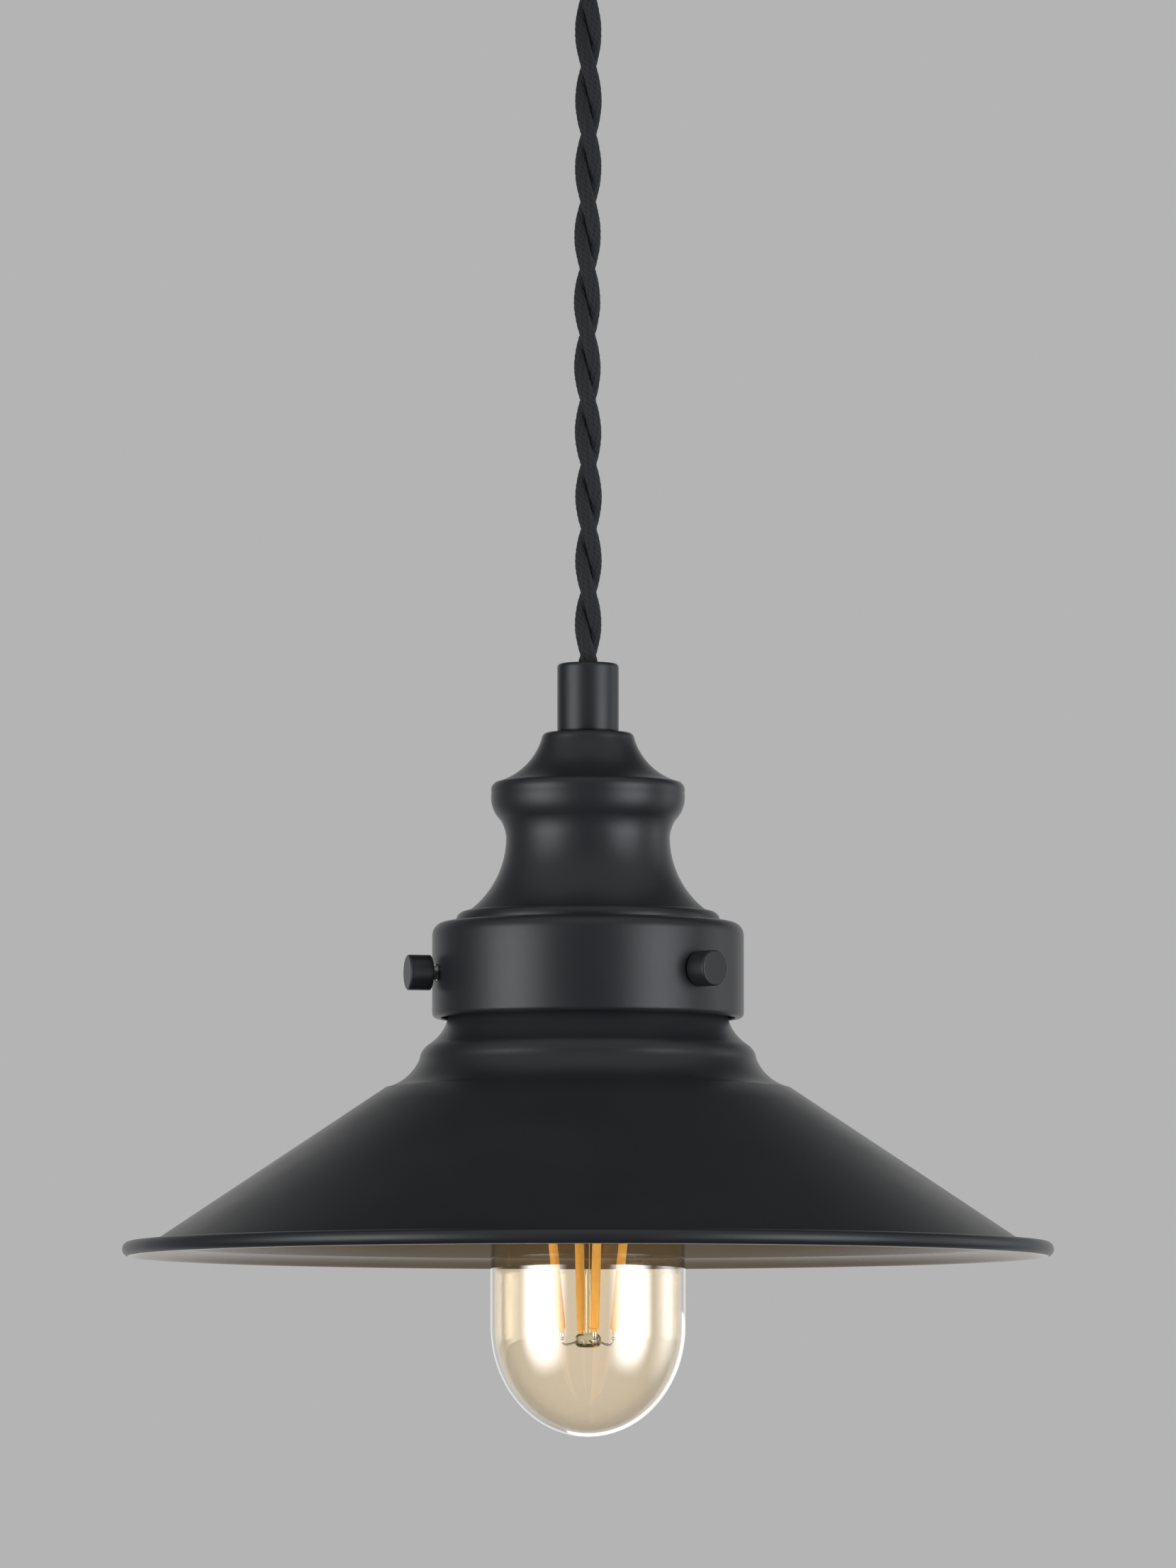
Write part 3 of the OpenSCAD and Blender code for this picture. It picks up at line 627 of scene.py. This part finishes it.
def makeGrip(name, body, standsFor, low, high, upward):
    tall = (high - low) / mm
    r, bore, edge, gap = (gripSet[name] for name in ("radius", "bore", "edge", "recess"))
    outline = [(bore, 0), (r - gripSet["recessDepth"], 0), (r - gripSet["recessDepth"], gap)]
    outline += bow((r - 0.15, gap), (r, gap + 0.15), -0.2, 3)
    outline += [(r, gap + 0.8)] + straight((r, gap + 0.8), (r, tall - edge - 0.6), 4) + [(r, tall - edge)]
    outline += bow((r, tall - edge), (r - edge, tall), -0.2, 8)
    outline += bow((bore + 0.4, tall), (bore, tall - 0.4), 0.2, 4)
    shape = spin(outline, steps=96)
    if not upward:
        bmesh.ops.scale(shape, vec=(1, 1, -1), verts=shape.verts)
        bmesh.ops.recalc_face_normals(shape, faces=shape.faces)
    bmesh.ops.translate(shape, verts=shape.verts, vec=(0, 0, low if upward else high))
    grip = finishPiece(name, shape, [blackPaint], body, standsFor)
    hole = bmesh.new()
    wide = gripSet["screwHole"] * mm
    bmesh.ops.create_cone(hole, cap_ends=True, segments=32, radius1=wide, radius2=wide, depth=8 * mm)
    bmesh.ops.rotate(hole, verts=hole.verts, cent=(0, 0, 0), matrix=Matrix.Rotation(math.pi / 2, 3, "X"))
    screwZ = high - gripSet["screwDrop"] * mm if upward else low + gripSet["screwDrop"] * mm
    bmesh.ops.translate(hole, verts=hole.verts, vec=(0, 8 * mm, screwZ))
    boreHoles(grip, hole)


makeGrip("lamp_cord_grip", "lamp", ["cord_grip"], capZ, lampZ, True)
makeGrip("cup_cord_grip", "ceiling_rose", ["rose_grip"], exitZ, highest("rose_grip").z, False)
print("Cord grips turned")


# Cap

capSet = {
    "topR": 11,
    "edge": 1.3,  # rounding of the top
    "shoulderR": 22.9,
    "shoulderDrop": 11.8,  # below the top
    "shoulderRound": 2.4,
    "throatOut": 1.4,  # end of the shoulder's underside: outside the neck
    "throatDrop": 8.8,  # and below the shoulder
    "neckR": 19.4,
    "neckRise": 20.2,
    "flangeR": 31.3,
    "flangeT": 2.6,
    "boreR": 17.8,
    "boreDrop": 13.5,  # where the bore ends, below the top
    "rebateR": 23.3,
    "rebate": 2.4,
    "wall": 1.6,
    "hole": 5.2,
}


def makeCap():
    top = (capZ - plateZ) / mm
    topR, neckR, hole, thick = (capSet[name] for name in ("topR", "neckR", "hole", "flangeT"))
    shoulderR, shoulder = capSet["shoulderR"], top - capSet["shoulderDrop"]
    neck = (neckR, capSet["neckRise"])
    throat = (neckR + capSet["throatOut"], shoulder - capSet["throatDrop"])
    edge, side = (topR, top - capSet["edge"]), (shoulderR, shoulder - capSet["shoulderRound"])
    flange, under = capSet["flangeR"], top - capSet["wall"]
    outline = [(hole, top), (topR - 1.6, top), (topR - 1, top)]
    outline += bow((topR - 1, top), edge, 0.15, 6)
    outline += bow(edge, (shoulderR - 0.9, shoulder), -0.131, 20)
    outline += bow((shoulderR - 0.9, shoulder), side, 0.17, 8)
    outline += bow(side, throat, 0.12, 12)
    outline += bow(throat, neck, -0.064, 8)
    outline += bow(neck, (flange - 2.9, thick), -0.119, 20)
    outline += bow((flange - 2.2, thick), (flange, thick - 2.2), 0.2, 8)
    outline += [(flange, 0), (capSet["rebateR"], 0), (capSet["rebateR"], capSet["rebate"])]
    outline += [(capSet["boreR"], capSet["rebate"]), (capSet["boreR"], top - capSet["boreDrop"])]
    outline += [(hole + 4, under), (hole, under)]
    shape = spin(outline, steps=144, base=plateZ)
    finishPiece("turned_cap", shape, [blackPaint], "lamp", ["cap"])


makeCap()
print("Cap turned")


# Gallery and thumb screws

gallerySet = {
    "inner": 34.9,
    "round": 3,  # at its upper edge
    "lowRound": 1.2,
    "hole": 19.9,
    "plate": 2,
    "screwHole": 2.15,
}
screwSet = {
    "directions": (194.5, 314.5, 74.5),  # degrees, from the lamp's right-hand side
    "knobR": 4.2,
    "knobL": 5.6,
    "chamfer": 0.35,
    "rootR": 1.6,
    "depth": 0.4,  # of the thread
    "pitch": 0.7,
    "tip": 0.5,  # length of the cone at its inner end
}


def alongScrew(direction):
    # turns a shape's Z axis along a thumb screw, pointing outwards, at the screws' height
    screwZ = (lowest("thumb_knob_1").z + highest("thumb_knob_1").z) / 2
    outwards = Matrix.Rotation(math.radians(direction), 4, "Z") @ Matrix.Rotation(math.pi / 2, 4, "Y")
    return Matrix.Translation((0, 0, screwZ)) @ outwards


def reachAlong(node, direction):
    # nearest and furthest distance of a part from the lamp's axis, along a screw
    way = Vector((math.cos(math.radians(direction)), math.sin(math.radians(direction)), 0))
    reaches = [vert.co.dot(way) for vert in nodes[node].data.vertices]
    return min(reaches), max(reaches)


def makeGallery():
    low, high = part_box("gallery")
    tall, r = (high.z - low.z) / mm, high.x / mm
    upper, lower = gallerySet["round"], gallerySet["lowRound"]
    hole, inside, plate = gallerySet["hole"], gallerySet["inner"], tall - gallerySet["plate"]
    outline = [(hole, tall), (r - upper - 1, tall), (r - upper, tall)]
    outline += bow((r - upper, tall), (r, tall - upper), 0.2, 10)
    outline += straight((r, tall - upper - 0.8), (r, lower + 0.6), 6) + [(r, lower)]
    outline += bow((r, lower), (r - lower, 0), 0.2, 6)
    outline += [(inside + 0.2, 0), (inside, 0.2), (inside, plate), (hole, plate)]
    shape = spin(outline, steps=160, base=low.z)
    gallery = finishPiece("shade_gallery", shape, [blackPaint], "lamp", ["gallery"])
    holes = bmesh.new()
    wide, atWall = gallerySet["screwHole"] * mm, Matrix.Translation((0, 0, 36 * mm))
    for direction in screwSet["directions"]:
        bmesh.ops.create_cone(holes, cap_ends=True, segments=40, radius1=wide, radius2=wide, depth=12 * mm,
                              matrix=alongScrew(direction) @ atWall)
    boreHoles(gallery, holes)


def makeThumbScrews():
    r, long, edge = screwSet["knobR"], screwSet["knobL"], screwSet["chamfer"]
    root, depth, pitch, tip = (screwSet[name] for name in ("rootR", "depth", "pitch", "tip"))
    for number, direction in enumerate(screwSet["directions"], 1):
        start = reachAlong(f"thumb_knob_{number}", direction)[0]
        outline = [(0, 0), (r - edge, 0)] + bow((r - edge, 0), (r, edge), -0.2, 4)
        outline += straight((r, edge + 0.2), (r, long - edge - 0.2), 3) + [(r, long - edge)]
        outline += bow((r, long - edge), (r - edge, long), -0.12, 4) + [(r - edge - 0.25, long), (0, long)]
        knob = spin(outline, steps=72, base=start, closed=False)
        bmesh.ops.transform(knob, verts=knob.verts, matrix=alongScrew(direction))
        finishPiece(f"thumb_screw_head_{number}", knob, [blackPaint], f"knob_{number}",
                    [f"thumb_knob_{number}"])
        near, far = reachAlong(f"thumb_shank_{number}", direction)
        span = (far - near) / mm
        outline = [(0, 0), (root - tip, 0), (root, tip)]
        outline += straight((root, tip), (root, span), round(span / pitch * 9)) + [(0, span)]
        shank = spin(outline, steps=40, base=near, closed=False)
        cutThread(shank, root * mm, depth * mm, pitch * mm, near + tip * mm, far + pitch * mm)
        bmesh.ops.transform(shank, verts=shank.verts, matrix=alongScrew(direction))
        finishPiece(f"thumb_screw_thread_{number}", shank, [zincSteel], f"screw_{number}",
                    [f"thumb_shank_{number}"], sharp=60)


makeGallery()
makeThumbScrews()
print("Gallery and thumb screws turned")


# Shade

shadeSet = {
    "wall": 1.2,
    "brim": 6,  # flat ring inside the rolled rim
    "height": 54.7,  # from the middle of the rolled rim to the gallery
    "neckR": 33.0,
    "neckTall": 3,  # straight part of the neck, inside the gallery
    "grooveR": 31.0,
    "grooveRise": 5.2,  # where the groove for the thumb screws begins
    "lipR": 34.4,
    "lipH": 67.3,
    "stepOut": 6.9,  # from the neck to the step's side
    "stepTop": (2.1, 6.3),  # inwards from that side, and down from the gallery
    "stepLow": 9.8,
    "coneTop": (8.1, 16.5),  # outwards and down
}


def makeShade():
    outerR = highest("shade").x / mm
    tall, wall, neckR = shadeSet["height"], shadeSet["wall"], shadeSet["neckR"]
    lip, groove, stepR = shadeSet["lipH"], shadeSet["grooveR"], neckR + shadeSet["stepOut"]
    brimR = outerR - 2 * rollR - shadeSet["brim"] + rollR
    neck = (neckR, tall + 0.5)
    neckEnd, grooveEnd = neck[1] + shadeSet["neckTall"], neck[1] + shadeSet["grooveRise"]
    stepTop = (stepR - shadeSet["stepTop"][0], tall - shadeSet["stepTop"][1])
    stepLow = (stepR, tall - shadeSet["stepLow"])
    coneTop = (stepR + shadeSet["coneTop"][0], tall - shadeSet["coneTop"][1])
    brimIn = (brimR, rollR + 0.3)
    skin = [neck] + bow(neck, stepTop, -0.1, 14) + bow(stepTop, stepLow, 0.11, 8)
    skin += bow(stepLow, coneTop, -0.12, 16)
    skin += straight(coneTop, brimIn, 10)
    rim = ringArc((outerR - rollR, 0), rollR, 90, -115, 24)
    fold = bow(rim[-1], (brimR - 0.8, rollR + 0.3 - wall), -0.05, 8)  # the sheet runs smoothly into the roll
    lining = inner(skin, wall)[:-1][::-1]
    outline = [(groove - wall, lip + wall), (shadeSet["lipR"], lip + wall), (shadeSet["lipR"], lip)]
    outline += [(groove, lip), (groove, grooveEnd), (neckR, neckEnd)]
    outline += skin + straight(brimIn, rim[0], 3) + rim[1:]
    outline += fold + lining
    outline += [(neckR - wall, neckEnd), (groove - wall, grooveEnd)]
    shape = spin(outline, steps=200, base=rimZ)
    for face in shape.faces:
        middle = face.calc_center_median()
        r = math.hypot(middle.x, middle.y)
        inward = (face.normal.x * middle.x + face.normal.y * middle.y) / r
        facesIn = r < (outerR - rollR) * mm and (face.normal.z < -0.35 or inward < -0.35)
        inside = face.normal.z < -0.93 or facesIn
        face.material_index = 1 if inside else 0
    finishPiece("spun_shade", shape, [blackPaint, liningPaint], "lamp", ["shade"], sharp=24)


makeShade()
print("Shade spun")


# Bulb

bulbSet = {
    "radius": 23,
    "wall": 0.8,
    "neckR": 12.5,
    "flareR": 13.25,  # neck, as far as the shoulder's bend is concerned
    "neckDrop": 3.5,  # end of the neck, below the metal cap
    "bendDrop": 12.5,  # middle of the shoulder
    "sideDrop": 22,  # top of the straight side
    "dome": 26,
    "filamentR": 6.3,  # of the circle on which the filaments stand
    "filamentL": 57,
    "filamentD": 2.1,
    "filamentRise": 2.5,  # above the button's underside
    "endR": 0.55,  # steel ends of a filament
    "lean": 5.8,  # degrees outwards
    "turn": 14,  # degrees about the axis
    "buttonRise": 21,  # above the bottom of the bulb
    "buttonH": 3.4,
    "buttonR": 3.1,
}
mountSet = {
    "flareR": 11.1,
    "stemR": 4.4,
    "stemDrop": 10,  # where the flare becomes the stem, below the metal cap
    "pinchR": 3.2,
    "wall": 0.8,
    "tubeR": 0.8,
    "above": 8,  # from the filaments' length to the pinch
    "lowWireR": 0.24,
    "lowBlobR": 0.55,
    "highWireR": 0.3,
    "highBlobR": 0.6,
}


def makeBulbGlass():
    tip = tipZ / mm
    foot = lowest("bulb_cap").z / mm  # the metal cap ends here
    r, neck, dome = bulbSet["radius"], bulbSet["neckR"], bulbSet["dome"]
    neckEnd, side = (neck, foot - bulbSet["neckDrop"]), (r, foot - bulbSet["sideDrop"])
    middle = ((bulbSet["flareR"] + r) / 2, foot - bulbSet["bendDrop"])
    outline = [(neck, foot + 4)] + straight((neck, foot + 4), neckEnd, 3)
    outline += bow(neckEnd, middle, -0.13, 14) + bow(middle, side, 0.14, 14)
    outline += straight(side, (r, tip + dome), 8)
    for angle in map(math.radians, range(4, 88, 4)):
        outline.append((r * math.cos(angle), tip + dome - dome * math.sin(angle)))
    outline += [(r * math.cos(math.radians(88)) * 0.4, tip), (0, tip)]
    lining = inner(outline, bulbSet["wall"])
    lining[-1] = (0, tip + bulbSet["wall"])
    shape = spin(outline + lining[::-1], steps=160, closed=True)
    finishPiece("bulb_envelope", shape, [amberGlass], "bulb", ["bulb_glass"], sharp=60)


def quarterTurn(number):
    return Matrix.Rotation(number * math.pi / 2 + math.radians(bulbSet["turn"]), 4, "Z")


def makeFilaments():
    r, long, end = bulbSet["filamentD"] / 2, bulbSet["filamentL"], bulbSet["endR"]
    low = tipZ + (bulbSet["buttonRise"] + bulbSet["filamentRise"]) * mm
    outline = [(0, 0), (end - 0.05, 0), (end, 1.0)] + bow((end, 1.0), (r, 2.0), 0.2, 5)
    outline += straight((r, 2.2), (r, long - 2.2), 24) + bow((r, long - 2.0), (end, long - 1.0), 0.2, 5)
    outline += [(end - 0.05, long), (0, long)]
    for number in range(4):
        rod = spin(outline, steps=28, closed=False)
        for face in rod.faces:
            up = face.calc_center_median().z
            face.material_index = 1 if up < 0.98 * mm or up > (long - 0.98) * mm else 0
        foot = Matrix.Translation((bulbSet["filamentR"] * mm, 0, low))
        lean = Matrix.Rotation(math.radians(bulbSet["lean"]), 4, "Y")
        bmesh.ops.transform(rod, verts=rod.verts, matrix=quarterTurn(number) @ foot @ lean)
        finishPiece(f"filament_rod_{number + 1}", rod, [phosphor, steelWire], "bulb",
                    [f"filament_{number + 1}"], sharp=50)


def wireShape(name, routes, radius, blobs, blobR):
    # wires along smooth routes, with a weld blob at each given point, all in metres
    curve = bpy.data.curves.new(name, "CURVE")
    curve.dimensions = "3D"
    curve.bevel_depth = radius
    curve.bevel_resolution = 4
    curve.use_fill_caps = True
    for route in routes:
        line = curve.splines.new("BEZIER")
        line.resolution_u = 8
        line.bezier_points.add(len(route) - 1)
        for point, co in zip(line.bezier_points, route):
            point.co = co
            point.handle_left_type = point.handle_right_type = "AUTO"
    holder = bpy.data.objects.new(name, curve)
    scene.collection.objects.link(holder)
    bpy.context.view_layer.update()
    mesh = bpy.data.meshes.new_from_object(holder.evaluated_get(bpy.context.evaluated_depsgraph_get()))
    bpy.data.objects.remove(holder)
    shape = bmesh.new()
    shape.from_mesh(mesh)
    bpy.data.meshes.remove(mesh)
    for blob in blobs:
        bmesh.ops.create_uvsphere(shape, u_segments=14, v_segments=9, radius=blobR,
                                  matrix=Matrix.Translation(blob))
    bmesh.ops.remove_doubles(shape, verts=shape.verts, dist=1e-7)
    bmesh.ops.recalc_face_normals(shape, faces=shape.faces)
    return shape


def makeMount():
    buttonZ = tipZ + bulbSet["buttonRise"] * mm
    pinchZ = buttonZ + (bulbSet["filamentL"] + mountSet["above"]) * mm
    foot, pinch = lowest("bulb_cap").z / mm, pinchZ / mm
    rim, stemR, drop = (mountSet["flareR"], foot - 1), mountSet["stemR"], foot - mountSet["stemDrop"]
    flare = [rim] + bow(rim, (stemR, drop), 0.15, 12) + straight((stemR, drop), (stemR, pinch + 4), 4)
    body = flare + bow((stemR, pinch + 4), (mountSet["pinchR"], pinch), 0.1, 5) + [(0, pinch), (0, pinch + 4)]
    stem = spin(body + inner(flare, mountSet["wall"])[::-1], steps=72)
    finishPiece("glass_stem", stem, [clearGlass], "bulb", ["bulb_stem"], sharp=50)
    r, h, tubeR = bulbSet["buttonR"], bulbSet["buttonH"], mountSet["tubeR"]
    tall = (pinchZ - buttonZ) / mm - h
    outline = [(0, -0.6), (tubeR, -0.6)] + straight((tubeR, -0.6), (tubeR, tall + 1), 6) + [(0, tall + 1)]
    tube = spin(outline, steps=24, base=buttonZ + h * mm, closed=False)
    finishPiece("exhaust_tube", tube, [clearGlass], "bulb", [], sharp=50)
    outline = [(0, 0), (r - 1.3, 0)] + bow((r - 1.3, 0), (r, 1.4), -0.2, 8)
    outline += bow((r, h - 1.4), (r - 1.6, h), -0.2, 8) + [(0, h)]
    button = spin(outline, steps=64, base=buttonZ, closed=False)
    finishPiece("glass_button", button, [clearGlass], "bulb", ["stem_button"], sharp=50)
    lowRoutes, highRoutes, lowBlobs, highBlobs = [], [], [], []
    lean = math.radians(bulbSet["lean"])
    end, pinchRise = bulbSet["filamentR"], (pinchZ - buttonZ) / mm
    topR = end + bulbSet["filamentL"] * math.sin(lean)  # upper end of a filament
    topZ = bulbSet["filamentRise"] + bulbSet["filamentL"] * math.cos(lean)
    lowPath = [(1.6, 1.5), (3.2, 1.2), (4.6, 0.75), (end - 0.4, 0.9), (end, 1.7), (end + 0.05, 2.9)]
    highPath = [(1.5, pinchRise + 1), (1.9, pinchRise - 1.5), (0.8 * topR, topZ + 3), (topR, topZ + 1.6),
                (topR, topZ - 0.3)]
    for number in range(4):
        for path, routes in ((lowPath, lowRoutes), (highPath, highRoutes)):
            routes.append([quarterTurn(number) @ Vector((r * mm, 0, buttonZ + h * mm)) for r, h in path])
        lowBlobs.append(quarterTurn(number) @ Vector((end * mm, 0, buttonZ + 2.2 * mm)))
        highBlobs.append(quarterTurn(number) @ Vector((topR * mm, 0, buttonZ + (topZ + 0.1) * mm)))
    lower = wireShape("lower wires", lowRoutes, mountSet["lowWireR"] * mm, lowBlobs,
                      mountSet["lowBlobR"] * mm)
    finishPiece("support_wires", lower, [steelWire], "bulb", ["lower_wires"], sharp=70)
    upper = wireShape("upper wires", highRoutes, mountSet["highWireR"] * mm, highBlobs,
                      mountSet["highBlobR"] * mm)
    finishPiece("feed_wires", upper, [steelWire], "bulb", ["lead_wires"], sharp=70)


makeBulbGlass()
makeFilaments()
makeMount()
print("Bulb made")


# Ceiling cup

cupSet = {"wall": 1, "round": 4, "hole": 5.2}


def makeCup():
    low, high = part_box("ceiling_cup")
    tall, r = (high.z - low.z) / mm, high.x / mm
    wall, edge, hole = cupSet["wall"], cupSet["round"], cupSet["hole"]
    outline = [(hole, 0)] + straight((hole, 0), (r - edge - 1, 0), 4) + [(r - edge, 0)]
    outline += bow((r - edge, 0), (r, edge), -0.2, 12)
    outline += straight((r, edge), (r, tall), 4) + [(r - wall, tall), (r - wall, edge)]
    outline += bow((r - wall, edge), (r - edge, wall), 0.2, 12) + [(hole, wall)]
    shape = spin(outline, steps=160, base=low.z)
    finishPiece("spun_cup", shape, [blackPaint], "ceiling_rose", ["ceiling_cup"])


makeCup()
print("Ceiling cup spun")


# Finishes of the parts that stay as they are

slotFinish = {
    "black_paint": blackPaint, "zinc_steel": zincSteel, "brass": brass, "nylon": nylon,
    "black_textile": tailCloth, "live_insulation": liveSleeve, "neutral_insulation": neutralSleeve,
    "terminal_plastic": whitePlastic, "bakelite": bakelite, "porcelain": porcelain, "nickel": nickel,
    "amber_glass": amberGlass, "clear_glass": clearGlass, "phosphor": phosphor,
    "steel_wire": steelWire, "vitrite": vitrite, "circuit_board": boardGreen,
}
for part in frame["record"]["subparts"]:
    mesh = nodes[part["node"]].data
    mesh.materials.clear()
    mesh.materials.append(slotFinish[part["material_slot"]])
print("Finishes laid on the remaining parts")
